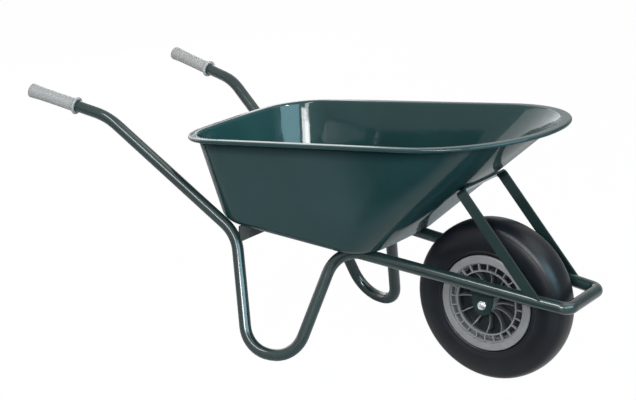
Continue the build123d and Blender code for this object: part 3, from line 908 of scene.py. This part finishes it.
def makeWorld():
    world = bpy.data.worlds.new("studioWorld")
    bpy.context.scene.world = world
    world.use_nodes = True
    tree = world.node_tree
    tree.nodes.clear()
    seen = addNode(tree, "ShaderNodeLightPath").outputs
    straight = mathOn(tree, "MAXIMUM", seen["Is Camera Ray"], seen["Is Transmission Ray"])
    inSight = mathOn(tree, "MAXIMUM", straight, seen["Is Glossy Ray"])
    # A little dimmer behind the nose, in the gloss only
    facing = addNode(tree, "ShaderNodeVectorMath", operation="DOT_PRODUCT")
    tree.links.new(addNode(tree, "ShaderNodeTexCoord").outputs["Generated"], facing.inputs[0])
    facing.inputs[1].default_value = studio["dimSide"]
    dimmed = spread(tree, facing.outputs["Value"], studio["dimReach"], (1.0, studio["dimLevel"]))
    level = mathOn(tree, "MAXIMUM", dimmed, straight)
    fill = addNode(tree, "ShaderNodeBackground", Color=(*white, 1.0), Strength=studio["fillLevel"])
    backdrop = addNode(tree, "ShaderNodeBackground", Color=(*white, 1.0))
    tree.links.new(level, backdrop.inputs["Strength"])
    output = addNode(tree, "ShaderNodeOutputWorld")
    mixed = mixShaders(tree, inSight, fill.outputs[0], backdrop.outputs[0])
    tree.links.new(mixed, output.inputs["Surface"])


def floorPaper():
    material, tree, surface = newMaterial("floorPaper")
    place = objectPlace(tree)
    spot = splitPlace(tree, place)
    leaning = mathOn(tree, "MULTIPLY_ADD", spot["X"], -studio["cardSlope"], spot["Y"])
    card = spread(tree, leaning, studio["cardBack"], wholeRange)
    for side in ("cardLeft", "cardRight"):
        card = mathOn(tree, "MULTIPLY", card, spread(tree, spot["X"], studio[side], wholeRange))
    mottle = noiseOn(tree, place, studio["mottleScale"], studio["mottleDetail"])
    fillSurface(tree, surface, {
        "Base Color": mixColour(tree, card, studio["floorPale"], studio["cardShade"]),
        "Roughness": spread(tree, mottle, noiseBand, studio["floorRoughness"]),
        "Specular IOR Level": studio["floorSpecular"],
    })
    # White to the camera; around the wheel the floor also glows white in the gloss, a painted glow that
    # hides the barrow's shadow in reflections
    glow = addNode(tree, "ShaderNodeEmission", Color=(*white, 1.0), Strength=1.0)
    seen = addNode(tree, "ShaderNodeLightPath").outputs
    straight = mathOn(tree, "MAXIMUM", seen["Is Camera Ray"], seen["Is Transmission Ray"])
    sightShare = mathOn(tree, "MULTIPLY", straight, studio["floorGlow"])
    wheelSide = mathOn(tree, "MULTIPLY",
                       spread(tree, spot["X"], studio["wheelSideX"], wholeRange),
                       spread(tree, spot["Y"], studio["wheelSideY"], wholeRange))
    share = mathOn(tree, "MULTIPLY_ADD", seen["Is Glossy Ray"], wheelSide, sightShare)
    mixed = mixShaders(tree, share, surface.outputs[0], glow.outputs[0])
    tree.links.new(mixed, tree.nodes["Material Output"].inputs["Surface"])
    return material


def makeFloor():
    half = studio["floorHalf"]
    mesh = bpy.data.meshes.new("studioFloor")
    corners = [(-half, -half, 0.0), (half, -half, 0.0), (half, half, 0.0), (-half, half, 0.0)]
    mesh.from_pydata(corners, [], [(0, 1, 2, 3)])
    floor = addObject("studioFloor", mesh)
    mesh.materials.append(floorPaper())


# Soft lamps, by their angles as seen from the barrow, their slant, distance, size and light
lamps = {
    "frontStrip": {"azimuth": 5.6, "elevation": 39, "slant": -51, "distance": 3.17,
                   "size": (3.0, 0.55), "watts": 93, "colour": white},
    "cameraSoftbox": {"azimuth": 23, "elevation": 19.5, "slant": 15, "distance": 3.4,
                      "size": (1.3, 0.46), "watts": 64, "colour": white},
    "sideWindow": {"azimuth": 72, "elevation": 26, "slant": 0, "distance": 3.6,
                   "size": (3.7, 1.33), "watts": 155, "colour": (0.45, 0.86, 1.0)},
    "leftPanel": {"azimuth": -108, "elevation": 15, "slant": 0, "distance": 3.4,
                  "size": (5.0, 2.0), "watts": 74, "colour": white},
    "topSoftbox": {"azimuth": 112, "elevation": 57, "slant": 0, "distance": 3.0,
                   "size": (3.2, 2.4), "watts": 46, "colour": white},
}
aimPoint = Vector((0.1, 0.0, 0.35))
# Narrow lamp on the inside of the tray's rear wall
insideSpot = {
    "place": (1.9, -0.3, 2.0),
    "aim": (-0.42, 0.05, 0.52),
    "cone": 15.0,
    "blend": 0.9,
    "radius": 0.2,
    "watts": 430,
}


def facingBack(outward):
    # Turns a lamp so that it shines against this direction
    return outward.to_track_quat("Z", "Y").to_matrix().to_4x4()


def makeLamp(name, facts):
    outward = outwardAt(facts["azimuth"], facts["elevation"])
    data = bpy.data.lights.new(name, "AREA")
    data.shape = "RECTANGLE"
    data.size, data.size_y = facts["size"]
    data.energy = facts["watts"]
    data.color = facts["colour"]
    lamp = addObject(name, data)
    place = Matrix.Translation(aimPoint + outward * facts["distance"])
    lean = Matrix.Rotation(math.radians(facts["slant"]), 4, "Z")
    lamp.matrix_world = place @ facingBack(outward) @ lean


def makeSpot(facts):
    data = bpy.data.lights.new("insideSpot", "SPOT")
    data.spot_size = math.radians(facts["cone"])
    data.spot_blend = facts["blend"]
    data.shadow_soft_size = facts["radius"]
    data.energy = facts["watts"]
    lamp = addObject("insideSpot", data)
    place = Vector(facts["place"])
    lamp.matrix_world = Matrix.Translation(place) @ facingBack(place - Vector(facts["aim"]))


makeWorld()
makeFloor()
makeSpot(insideSpot)
for lampName, lampFacts in lamps.items():
    makeLamp(lampName, lampFacts)
print("studio ready")
